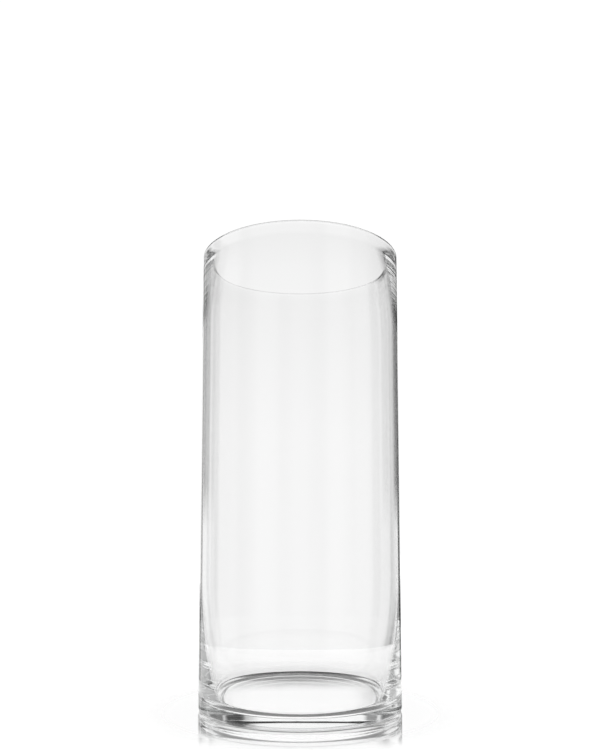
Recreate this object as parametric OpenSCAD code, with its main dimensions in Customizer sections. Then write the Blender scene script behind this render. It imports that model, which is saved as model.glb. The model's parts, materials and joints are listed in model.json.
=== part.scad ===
// Straight-sided glass cylinder vase, blown in one piece.
// Millimetres, +Z up. The origin is the centre of the circle that the foot stands on.
// The whole vase is one turned shape: a round-cornered blank minus the hollow and the foot recess.

/* [Body] */
// Outside diameter of the straight wall
body_d = 110; // [90:1:160]
// Height from the table to the top of the rim
body_h = 250; // [200:5:350]
// Thickness of the wall over its straight middle
wall_t = 1.6; // [1.4:0.1:2.2]

/* [Rim] */
// Thickness of the wall at the rim
rim_t = 3.6; // [3:0.1:5]
// Depth of the straight band inside the mouth
mouth_h = 5; // [4:0.5:8]
// Height over which the wall swells from its middle thickness to the rim's
rim_swell_h = 38; // [25:1:45]
// Radius of the fire-polished edges of the rim
rim_edge_r = 1.4; // [0.6:0.1:1.45]

/* [Base] */
// Thickness of the base at its centre, from the recess to the floor inside
base_t = 3.4; // [3:0.1:6]
// Radius of the hollow where the floor turns up into the wall
floor_r = 6.5; // [5:0.5:9]
// Height above the table where the wall starts to thicken towards the base
base_swell_z = 70; // [55:1:80]
// How much thicker the wall would be than at its middle, were it carried down to the table
base_swell_t = 7.4; // [5:0.1:8]

/* [Foot] */
// Radius of the outer edge between the wall and the table
foot_edge_r = 2.5; // [1.5:0.1:3.5]
// Width of the flat ring that stands on the table
foot_ring_w = 8; // [6:0.5:12]
// Depth of the shallow recess under the base
recess_h = 1.0; // [0.5:0.1:1.2]

/* [Hidden] */
$fn = 180;

body_r = body_d / 2;
bore_r = body_r - wall_t;              // hollow over the straight middle of the wall
mouth_r = body_r - rim_t;              // hollow at the mouth
recess_r = body_r - foot_edge_r - foot_ring_w;
floor_z = recess_h + base_t;
mouth_z = body_h - mouth_h;            // lower end of the straight band in the mouth
rim_swell_z = mouth_z - rim_swell_h;   // where the wall starts to thicken towards the rim
over = 1;                              // how far a cutting shape runs past what it cuts

// Radius of the arc that leaves a straight line square on and has risen by sag after run.
function arc_r(run, sag) = (run * run + sag * sag) / (2 * sag);

rim_arc_r = arc_r(rim_swell_h, rim_t - wall_t);
base_arc_r = arc_r(base_swell_z, base_swell_t);
recess_arc_r = arc_r(recess_r, recess_h);

// The floor's round corner touches the floor and rolls inside the base arc.
corner_z = floor_z + floor_r;
base_arc_x = bore_r - base_arc_r;
corner_drop = base_swell_z - corner_z;
corner_x = base_arc_x + sqrt(pow(base_arc_r - floor_r, 2) - corner_drop * corner_drop);

// Half of the outside shape: straight wall, rounded foot edge and rounded rim edge.
module blank_profile() {
    translate([0, foot_edge_r])
        square([body_r, body_h - foot_edge_r - rim_edge_r]);
    square([body_r - foot_edge_r, foot_edge_r + over]);
    translate([body_r - foot_edge_r, foot_edge_r])
        circle(r = foot_edge_r);
    translate([0, body_h - rim_edge_r - over])
        square([body_r - rim_edge_r, rim_edge_r + over]);
    translate([body_r - rim_edge_r, body_h - rim_edge_r])
        circle(r = rim_edge_r);
}

// Hollow beside the thick lower wall, from the floor up to the straight middle.
module lower_hollow_profile() {
    intersection() {
        translate([base_arc_x, base_swell_z])
            circle(r = base_arc_r, $fn = 720);
        translate([0, corner_z])
            square([bore_r, base_swell_z - corner_z]);
    }
    translate([0, floor_z])
        square([corner_x, floor_r + over]);
    translate([corner_x, corner_z])
        circle(r = floor_r);
}

// Hollow beside the wall that thickens towards the rim.
module upper_hollow_profile() {
    intersection() {
        translate([bore_r - rim_arc_r, rim_swell_z])
            circle(r = rim_arc_r, $fn = 720);
        translate([0, rim_swell_z])
            square([bore_r, rim_swell_h]);
    }
}

// Mouth: a straight band that opens out round the inner edge of the rim.
module mouth_profile() {
    translate([0, mouth_z - over])
        square([mouth_r, mouth_h + 2 * over]);
    difference() {
        translate([mouth_r - over, body_h - rim_edge_r])
            square([rim_edge_r + over, rim_edge_r + over]);
        translate([mouth_r + rim_edge_r, body_h - rim_edge_r])
            circle(r = rim_edge_r);
    }
}

// Half of the whole hollow.
module hollow_profile() {
    lower_hollow_profile();
    translate([0, base_swell_z])
        square([bore_r, rim_swell_z - base_swell_z]);
    upper_hollow_profile();
    mouth_profile();
}

// Half of the recess under the base, a shallow dish inside the foot ring.
module recess_profile() {
    intersection() {
        translate([0, recess_h - recess_arc_r])
            circle(r = recess_arc_r, $fn = 720);
        translate([0, -over])
            square([recess_r, recess_h + 2 * over]);
    }
}

// The vase itself, a single piece of clear glass.
module vase_body() {
    color([0.86, 0.92, 0.92, 0.35])
        rotate_extrude()
            difference() {
                blank_profile();
                hollow_profile();
                recess_profile();
            }
}

vase_body();
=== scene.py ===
import bpy
import json
import math
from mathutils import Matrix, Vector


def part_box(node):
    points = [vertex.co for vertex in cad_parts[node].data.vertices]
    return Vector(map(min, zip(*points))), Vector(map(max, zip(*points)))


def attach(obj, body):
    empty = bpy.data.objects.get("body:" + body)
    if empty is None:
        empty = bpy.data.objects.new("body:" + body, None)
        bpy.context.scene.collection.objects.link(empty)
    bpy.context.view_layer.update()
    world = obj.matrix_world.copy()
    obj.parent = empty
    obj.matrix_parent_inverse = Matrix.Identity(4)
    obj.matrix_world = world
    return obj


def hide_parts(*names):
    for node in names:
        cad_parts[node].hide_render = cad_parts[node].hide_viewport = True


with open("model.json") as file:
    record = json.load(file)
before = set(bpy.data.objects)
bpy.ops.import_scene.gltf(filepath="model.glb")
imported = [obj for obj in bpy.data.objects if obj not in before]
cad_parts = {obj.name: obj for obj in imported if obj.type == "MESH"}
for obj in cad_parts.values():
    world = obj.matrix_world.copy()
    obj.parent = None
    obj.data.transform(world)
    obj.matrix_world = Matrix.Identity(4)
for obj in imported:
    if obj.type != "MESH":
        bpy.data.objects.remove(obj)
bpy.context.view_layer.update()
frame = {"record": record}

mm = 0.001
vaseLow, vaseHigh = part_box("vase_body")
bodyRadius = (vaseHigh[0] - vaseLow[0]) / 2
bodyHeight = vaseHigh[2] - vaseLow[2]
mouth = [m for m in frame["record"]["mounts"] if m["name"] == "mouth"][0]
mouthRadius = mouth["dims"]["r_mm"] * mm
print("frame read: radius %.4f, height %.4f, mouth %.4f" % (bodyRadius, bodyHeight, mouthRadius))

# helpers for modelling

def selectNothing():
    bpy.ops.object.select_all(action="DESELECT")

def selectByPlace(obj, kind, test):
    # kind FACE tests each centre and normal, kind EDGE tests both ends
    bpy.ops.object.mode_set(mode="EDIT")
    bpy.ops.mesh.select_all(action="DESELECT")
    bpy.ops.mesh.select_mode(type=kind)
    bpy.ops.object.mode_set(mode="OBJECT")
    if kind == "FACE":
        for f in obj.data.polygons:
            f.select = test(f.center, f.normal)
    else:
        for e in obj.data.edges:
            a, b = (obj.data.vertices[i].co for i in e.vertices)
            e.select = test(a, b)
    bpy.ops.object.mode_set(mode="EDIT")

def arcPoints(centreR, centreZ, radius, startDeg, endDeg, steps):
    # radius and height pairs along an arc, without the first one
    points = []
    for i in range(1, steps + 1):
        a = math.radians(startDeg + (endDeg - startDeg) * i / steps)
        points.append((centreR + radius * math.cos(a), centreZ + radius * math.sin(a)))
    return points

def straightPoints(radius, fromZ, toZ, steps):
    return [(radius, fromZ + (toZ - fromZ) * i / steps) for i in range(1, steps + 1)]

def carryCap(startR, startZ, points):
    # extrudes the selected cap ring by ring, then closes it on the axis
    r, z = startR, startZ
    for nextR, nextZ in points:
        bpy.ops.mesh.extrude_region_move(TRANSFORM_OT_translate={"value": (0, 0, nextZ - z)})
        scale = nextR / r
        bpy.ops.transform.resize(value=(scale, scale, 1), center_override=(0, 0, 0))
        r, z = nextR, nextZ
    bpy.ops.mesh.merge(type="CENTER")

# the vase: one blown body

vase = {
    "sides": 360,              # steps round the body
    "wallCuts": 60,            # rings up the outside
    "wall": 1.6 * mm,          # over the straight middle
    "rimEdge": 1.4 * mm,       # fire-polished edge, nearly a full round
    "mouthBand": 5.0 * mm,     # straight band inside the mouth
    "rimSwell": 38 * mm,       # height over which the rim thickens
    "baseSwellTop": 70 * mm,   # where the wall starts to thicken downwards
    "baseSwell": 7.4 * mm,     # how much it would gain down to the table
    "floor": 4.4 * mm,         # floor of the hollow above the table
    "floorCorner": 6.5 * mm,   # round corner between floor and wall
    "footEdge": 2.5 * mm,
    "footRing": 8.0 * mm,      # flat ring it stands on
    "recess": 1.0 * mm,        # shallow dish inside the ring
    "wave": 0.02 * mm,         # unevenness of the inner wall
    "waveSize": 55 * mm,
    "waveFade": 20 * mm,       # dies out towards the mouth
    "rimSteps": 10,
    "footSteps": 12,
    "bandSteps": 3,
    "wallSteps": 32,
    "swellSteps": 20,
    "floorRings": (0.97, 0.85, 0.7, 0.55, 0.4, 0.25, 0.1, 0.03),
    "dishRings": (0.99, 0.95, 0.88, 0.78, 0.65, 0.5, 0.35, 0.2, 0.08, 0.03),
    "footOuterInset": 0.4 * mm,    # support rings that keep the foot ring flat
    "footInnerInset": 0.3 * mm,
}

def hollowPoints(s):
    # from the top of the rim down the inner wall to the middle of the floor
    edge = s["rimEdge"]
    wallR = bodyRadius - s["wall"]
    bandZ = bodyHeight - s["mouthBand"]
    swellZ = bandZ - s["rimSwell"]
    rimSag = wallR - mouthRadius
    rimArc = (s["rimSwell"] ** 2 + rimSag ** 2) / (2 * rimSag)
    rimTurn = math.degrees(math.asin(s["rimSwell"] / rimArc))
    baseArc = (s["baseSwellTop"] ** 2 + s["baseSwell"] ** 2) / (2 * s["baseSwell"])
    baseR = wallR - baseArc
    cornerZ = s["floor"] + s["floorCorner"]
    drop = s["baseSwellTop"] - cornerZ
    cornerR = baseR + math.sqrt((baseArc - s["floorCorner"]) ** 2 - drop ** 2)
    meet = -math.degrees(math.atan2(drop, cornerR - baseR))
    points = [(mouthRadius + edge, bodyHeight)]
    points += arcPoints(mouthRadius + edge, bodyHeight - edge, edge, 90, 180, s["rimSteps"])
    points += straightPoints(mouthRadius, bodyHeight - edge, bandZ, s["bandSteps"])
    points += arcPoints(wallR - rimArc, swellZ, rimArc, rimTurn, 0, s["swellSteps"])
    points += straightPoints(wallR, swellZ, s["baseSwellTop"], s["wallSteps"])
    points += arcPoints(baseR, s["baseSwellTop"], baseArc, 0, meet, s["swellSteps"])
    points += arcPoints(cornerR, cornerZ, s["floorCorner"], meet, -90, s["swellSteps"])
    points += [(cornerR * k, s["floor"]) for k in s["floorRings"]]
    return points

def footPoints(s, footR):
    # from the outside of the foot ring over the dish to the middle
    recessR = footR - s["footRing"]
    dishArc = (recessR ** 2 + s["recess"] ** 2) / (2 * s["recess"])
    points = [(footR - s["footOuterInset"], 0.0), (recessR + s["footInnerInset"], 0.0), (recessR, 0.0)]
    for k in s["dishRings"]:
        r = recessR * k
        points.append((r, s["recess"] - dishArc + math.sqrt(dishArc ** 2 - r ** 2)))
    return points

def unevenWall(obj, s):
    # a blown wall is never quite even, so the hollow's side waves a little
    bandZ = bodyHeight - s["mouthBand"]
    group = obj.vertex_groups.new(name="innerWall")
    for v in obj.data.vertices:
        inside = math.hypot(v.co.x, v.co.y) < bodyRadius - 0.5 * s["wall"]
        if inside and s["floor"] - mm < v.co.z < bandZ:
            group.add([v.index], min(1.0, (bandZ - v.co.z) / s["waveFade"]), "REPLACE")
    cloud = bpy.data.textures.new("wallWave", "CLOUDS")
    cloud.noise_scale = s["waveSize"]
    cloud.noise_depth = 1
    wave = obj.modifiers.new("wave", "DISPLACE")
    wave.texture = cloud
    wave.texture_coords = "LOCAL"
    wave.strength = 2 * s["wave"]
    wave.mid_level = 0.5
    wave.vertex_group = "innerWall"
    bpy.ops.object.modifier_apply(modifier=wave.name)

def makeVase(s):
    selectNothing()
    bpy.ops.mesh.primitive_cylinder_add(vertices=s["sides"], radius=bodyRadius, depth=bodyHeight,
                                        location=(0, 0, bodyHeight / 2), end_fill_type="NGON")
    obj = bpy.context.object
    obj.name = "vaseGlass"
    bpy.ops.object.transform_apply(location=True, rotation=True, scale=True)
    selectByPlace(obj, "EDGE", lambda a, b: min(a.z, b.z) > bodyHeight - mm)
    bpy.ops.mesh.bevel(offset=s["rimEdge"], segments=s["rimSteps"], profile=0.5, affect="EDGES")
    selectByPlace(obj, "EDGE", lambda a, b: max(a.z, b.z) < mm)
    bpy.ops.mesh.bevel(offset=s["footEdge"], segments=s["footSteps"], profile=0.5, affect="EDGES")
    selectByPlace(obj, "EDGE", lambda a, b: abs(a.z - b.z) > bodyHeight / 2)
    bpy.ops.mesh.subdivide(number_cuts=s["wallCuts"])
    selectByPlace(obj, "FACE", lambda c, n: n.z > 0.9 and math.hypot(c.x, c.y) < mm)
    carryCap(bodyRadius - s["rimEdge"], bodyHeight, hollowPoints(s))
    footR = bodyRadius - s["footEdge"]
    selectByPlace(obj, "FACE", lambda c, n: n.z < -0.9 and math.hypot(c.x, c.y) < mm)
    carryCap(footR, 0.0, footPoints(s, footR))
    bpy.ops.object.mode_set(mode="OBJECT")
    unevenWall(obj, s)
    bpy.ops.object.shade_smooth()
    return obj

vaseGlass = makeVase(vase)
print("vase made:", len(vaseGlass.data.polygons), "faces")

# clear soda glass with faint drawn streaks

glass = {
    "tint": (0.97, 0.97, 0.97, 1.0),
    "ior": 1.5,
    "depthColour": (0.90, 0.96, 0.94, 1.0),
    "depthPerMetre": 1.2,
    "streakScale": 70.0,
    "streakStretch": 0.12,     # along the height
    "streakDepth": 0.2 * mm,
    "streakStrength": 0.05,
}

def clearGlass(s):
    mat = bpy.data.materials.new("clearGlass")
    mat.use_nodes = True
    tree = mat.node_tree
    shader = tree.nodes["Principled BSDF"]
    shader.inputs["Base Color"].default_value = s["tint"]
    shader.inputs["Transmission Weight"].default_value = 1.0
    shader.inputs["IOR"].default_value = s["ior"]
    shader.inputs["Roughness"].default_value = 0.0
    place = tree.nodes.new("ShaderNodeTexCoord")
    stretch = tree.nodes.new("ShaderNodeMapping")
    stretch.inputs["Scale"].default_value = (1, 1, s["streakStretch"])
    streaks = tree.nodes.new("ShaderNodeTexNoise")
    streaks.inputs["Scale"].default_value = s["streakScale"]
    streaks.inputs["Detail"].default_value = 1.0
    bump = tree.nodes.new("ShaderNodeBump")
    bump.inputs["Strength"].default_value = s["streakStrength"]
    bump.inputs["Distance"].default_value = s["streakDepth"]
    soak = tree.nodes.new("ShaderNodeVolumeAbsorption")
    soak.inputs["Color"].default_value = s["depthColour"]
    soak.inputs["Density"].default_value = s["depthPerMetre"]
    tree.links.new(place.outputs["Object"], stretch.inputs["Vector"])
    tree.links.new(stretch.outputs["Vector"], streaks.inputs["Vector"])
    tree.links.new(streaks.outputs["Fac"], bump.inputs["Height"])
    tree.links.new(bump.outputs["Normal"], shader.inputs["Normal"])
    tree.links.new(soak.outputs["Volume"], tree.nodes["Material Output"].inputs["Volume"])
    return mat

vaseGlass.data.materials.append(clearGlass(glass))
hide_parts("vase_body")
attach(vaseGlass, "root")
print("glass done")

# helpers for node trees, which take a number or a socket

def addMath(tree, operation, first, second):
    node = tree.nodes.new("ShaderNodeMath")
    node.operation = operation
    for socket, value in zip(node.inputs, (first, second)):
        if isinstance(value, (int, float)):
            socket.default_value = value
        else:
            tree.links.new(value, socket)
    return node.outputs["Value"]

def addRange(tree, value, fromMin, fromMax, toMin, toMax):
    reach = tree.nodes.new("ShaderNodeMapRange")
    for name, number in (("From Min", fromMin), ("From Max", fromMax), ("To Min", toMin), ("To Max", toMax)):
        reach.inputs[name].default_value = number
    tree.links.new(value, reach.inputs["Value"])
    return reach.outputs["Result"]

def addRamp(tree, tones):
    ramp = tree.nodes.new("ShaderNodeValToRGB")
    stops = ramp.color_ramp.elements
    stops.remove(stops[1])
    for i, (degrees, tone) in enumerate(tones):
        share = (degrees + 180) / 360
        stop = stops[0] if i == 0 else stops.new(share)
        stop.position = share
        stop.color = (tone, tone, tone, 1)
    return ramp

# stage: a white acrylic table and the studio round it

table = {
    "size": 12.0,
    "sides": 128,
    "drop": 0.1 * mm,          # clear of the foot ring
    "nearRadius": 0.12,        # the patch that the glass looks down on
    "white": 0.98,
    "glossFrom": 0.6,          # facing value where the mirror share starts
    "glossFull": 0.76,
    "glossGrazing": 0.92,      # mirror share seen from low down
    "glossTo": 0.07,           # the mirror share fades out beyond this radius
    "glossFade": 0.02,
    "footShade": 0.22,         # white left in the contact shade under the foot ring
    "footGloss": 0.1,          # mirror share left under the foot
    "paintedUnderGlow": 0.9,          # painted glow: emission strength on the table under the base, easing to openGlow at the edge of the foot
    "openGlow": 0.2,
}

def tableMaterial(s):
    mat = bpy.data.materials.new("whiteAcrylic")
    mat.use_nodes = True
    tree = mat.node_tree
    tree.nodes.remove(tree.nodes["Principled BSDF"])
    place = tree.nodes.new("ShaderNodeTexCoord")
    away = tree.nodes.new("ShaderNodeVectorMath")
    away.operation = "LENGTH"
    tree.links.new(place.outputs["Object"], away.inputs[0])
    radius = away.outputs["Value"]
    facing = tree.nodes.new("ShaderNodeLayerWeight")
    facing.inputs["Blend"].default_value = 0.5
    halfRing = vase["footRing"] / 2
    footMiddle = bodyRadius - vase["footEdge"] - halfRing
    offRing = addMath(tree, "ABSOLUTE", addMath(tree, "SUBTRACT", radius, footMiddle), 0.0)
    shade = addRange(tree, offRing, halfRing, halfRing + mm, s["footShade"], s["white"])
    grazing = addRange(tree, facing.outputs["Facing"], s["glossFrom"], s["glossFull"],
                       0.0, s["glossGrazing"])
    fade = addRange(tree, radius, s["glossTo"], s["glossTo"] + s["glossFade"], 1.0, 0.0)
    clearOfFoot = addRange(tree, radius, footMiddle, bodyRadius, s["footGloss"], 1.0)
    # painted glow: the table emits strongly under the base and weakly on the open table, dimmed again in the
    # contact shade ring
    glow = addRange(tree, radius, footMiddle, bodyRadius, s["paintedUnderGlow"], s["openGlow"])
    diffuse = tree.nodes.new("ShaderNodeBsdfDiffuse")
    light = tree.nodes.new("ShaderNodeEmission")
    gloss = tree.nodes.new("ShaderNodeBsdfGlossy")
    gloss.inputs["Color"].default_value = (1, 1, 1, 1)
    gloss.inputs["Roughness"].default_value = 0.0
    body = tree.nodes.new("ShaderNodeAddShader")
    mix = tree.nodes.new("ShaderNodeMixShader")
    mirror = addMath(tree, "MULTIPLY", addMath(tree, "MULTIPLY", grazing, fade), clearOfFoot)
    tree.links.new(shade, diffuse.inputs["Color"])
    tree.links.new(addMath(tree, "MULTIPLY", glow, shade), light.inputs["Strength"])
    tree.links.new(mirror, mix.inputs["Fac"])
    tree.links.new(diffuse.outputs["BSDF"], body.inputs[0])
    tree.links.new(light.outputs["Emission"], body.inputs[1])
    tree.links.new(body.outputs["Shader"], mix.inputs[1])
    tree.links.new(gloss.outputs["BSDF"], mix.inputs[2])
    tree.links.new(mix.outputs["Shader"], tree.nodes["Material Output"].inputs["Surface"])
    return mat

def makeTable(s):
    selectNothing()
    bpy.ops.mesh.primitive_cylinder_add(vertices=s["sides"], radius=s["size"] / 2, depth=s["drop"],
                                        location=(0, 0, -1.5 * s["drop"]), end_fill_type="NOTHING")
    far = bpy.context.object
    far.name = "table"
    bpy.ops.object.transform_apply(location=True)
    selectByPlace(far, "EDGE", lambda a, b: min(a.z, b.z) > -1.2 * s["drop"])
    bpy.ops.mesh.extrude_region_move()
    scale = s["nearRadius"] / (s["size"] / 2)
    bpy.ops.transform.resize(value=(scale, scale, 1), center_override=(0, 0, 0))
    bpy.ops.object.mode_set(mode="OBJECT")
    selectNothing()
    bpy.ops.mesh.primitive_circle_add(vertices=s["sides"], radius=s["nearRadius"],
                                      location=(0, 0, -s["drop"]), fill_type="NGON")
    near = bpy.context.object
    near.name = "tableNear"
    bpy.ops.object.transform_apply(location=True)
    finish = tableMaterial(s)
    for piece in (far, near):
        piece.data.materials.append(finish)
    far.visible_transmission = False   # the glass sees and mirrors the studio dome instead
    far.visible_glossy = False

makeTable(table)

studio = {
    "radius": 6.0,
    "skyFrom": 33.0,           # degrees above the horizon where the light ends
    "skyTo": 43.0,
    "skyTone": 0.03,
    "hazeFrom": 10.0,          # the light eases off a little between these heights
    "hazeTo": 26.0,
    "hazeTone": 0.93,
    "cardFrom": 2.0,           # the dark cards start between these heights
    "cardTo": 6.0,
    "groundFrom": -20.0,       # below this the ground tones come in
    "groundTo": -30.0,
    "light": 1.03,
    "segments": 64,
    "rings": 32,
}
# tone of the studio panels by direction, in degrees anticlockwise from +X
darkTone = 0.03
backTone = 0.85
panelTones = [(-180, 1.0), (-168, 1.0), (-160, 0.6), (-154, 0.6), (-144, backTone), (-84, backTone),
              (-72, 0.65), (-64, 0.65), (-56, 1.0), (-34, 1.0), (-26, 0.65), (-20, 0.65), (-10, 0.65),
              (0, 0.4), (41, 0.4), (47, 1.0), (59, 1.0), (61, darkTone), (70, darkTone), (72, 0.55),
              (75, 0.75), (77, 1.0), (113, 1.0), (115, 0.3), (121, 0.3), (123, 1.0),
              (147, 1.0), (151, 0.4), (163, 0.4), (168, 1.0)]
# dark cards above the horizon, which draw the thick glass near the foot
cardTones = [(-180, 1.0), (43, 1.0), (46, 0.15), (58, 0.15), (60, 1.0), (123, 1.0), (126, 0.15), (142, 0.15),
             (145, 1.0)]
# tone of the ground behind the table, white where the taller views look down on it
groundTones = [(-180, 0.4), (-77, 0.4), (-70, 1.0), (-20, 1.0), (-13, 0.4), (103, 0.4), (110, 1.0),
               (160, 1.0), (167, 0.4)]

def sine(degrees):
    return math.sin(math.radians(degrees))

def studioMaterial(s):
    mat = bpy.data.materials.new("studioPanels")
    mat.use_nodes = True
    tree = mat.node_tree
    tree.nodes.remove(tree.nodes["Principled BSDF"])
    place = tree.nodes.new("ShaderNodeTexCoord")
    aim = tree.nodes.new("ShaderNodeVectorMath")
    aim.operation = "NORMALIZE"
    split = tree.nodes.new("ShaderNodeSeparateXYZ")
    tree.links.new(place.outputs["Object"], aim.inputs[0])
    tree.links.new(aim.outputs["Vector"], split.inputs["Vector"])
    height = split.outputs["Z"]
    turn = addMath(tree, "ARCTAN2", split.outputs["Y"], split.outputs["X"])
    share = addMath(tree, "ADD", addMath(tree, "DIVIDE", turn, 2 * math.pi), 0.5)
    panels = addRamp(tree, panelTones)
    ground = addRamp(tree, groundTones)
    cards = addRamp(tree, cardTones)
    for ramp in (panels, ground, cards):
        tree.links.new(share, ramp.inputs["Fac"])
    low = addRange(tree, height, sine(s["groundFrom"]), sine(s["groundTo"]), 0.0, 1.0)
    loss = addMath(tree, "MULTIPLY", low, addMath(tree, "SUBTRACT", 1.0, ground.outputs["Color"]))
    sky = addRange(tree, height, sine(s["skyFrom"]), sine(s["skyTo"]), 1.0, s["skyTone"])
    haze = addRange(tree, height, sine(s["hazeFrom"]), sine(s["hazeTo"]), 1.0, s["hazeTone"])
    raised = addRange(tree, height, sine(s["cardFrom"]), sine(s["cardTo"]), 0.0, 1.0)
    shut = addMath(tree, "MULTIPLY", raised, addMath(tree, "SUBTRACT", 1.0, cards.outputs["Color"]))
    sky = addMath(tree, "MULTIPLY", sky, haze)
    sky = addMath(tree, "MULTIPLY", sky, addMath(tree, "SUBTRACT", 1.0, shut))
    sky = addMath(tree, "MULTIPLY", sky, addMath(tree, "SUBTRACT", 1.0, loss))
    glow = tree.nodes.new("ShaderNodeEmission")
    tree.links.new(panels.outputs["Color"], glow.inputs["Color"])
    tree.links.new(sky, glow.inputs["Strength"])
    tree.links.new(glow.outputs["Emission"], tree.nodes["Material Output"].inputs["Surface"])
    return mat

def makeStudio(s):
    selectNothing()
    bpy.ops.mesh.primitive_uv_sphere_add(segments=s["segments"], ring_count=s["rings"],
                                         radius=s["radius"], location=(0, 0, 0))
    dome = bpy.context.object
    dome.name = "studioDome"
    dome.data.materials.append(studioMaterial(s))
    dome.visible_camera = False
    dome.visible_diffuse = False
    dome.visible_shadow = False
    world = bpy.data.worlds.new("studioLight")
    world.use_nodes = True
    world.node_tree.nodes["Background"].inputs["Color"].default_value = (1, 1, 1, 1)
    world.node_tree.nodes["Background"].inputs["Strength"].default_value = s["light"]
    bpy.context.scene.world = world

makeStudio(studio)
print("stage and light done")

# camera: close, below the rim, tipped up a little, with its frame shifted down on to the vase

view = {
    "away": 7.42,              # from the axis, in body radii
    "height": 1.6,             # in body radii
    "tipUp": 5.05,             # degrees
    "lens": 35.2,
    "shift": 0.14,
    "clipStart": 0.01,
}

def makeCamera(s):
    lens = bpy.data.cameras.new("camera")
    lens.lens = s["lens"]
    lens.shift_y = s["shift"]
    lens.clip_start = s["clipStart"]
    camera = bpy.data.objects.new("camera", lens)
    bpy.context.scene.collection.objects.link(camera)
    camera.location = (0, -s["away"] * bodyRadius, s["height"] * bodyRadius)
    camera.rotation_euler = (math.radians(90 + s["tipUp"]), 0, 0)
    bpy.context.scene.camera = camera

makeCamera(view)

# enough bounces for light to cross both walls and the base

bounces = {"all": 48, "transmission": 48, "glossy": 24}

scene = bpy.context.scene
scene.view_settings.view_transform = "Standard"
scene.cycles.max_bounces = bounces["all"]
scene.cycles.transmission_bounces = bounces["transmission"]
scene.cycles.glossy_bounces = bounces["glossy"]
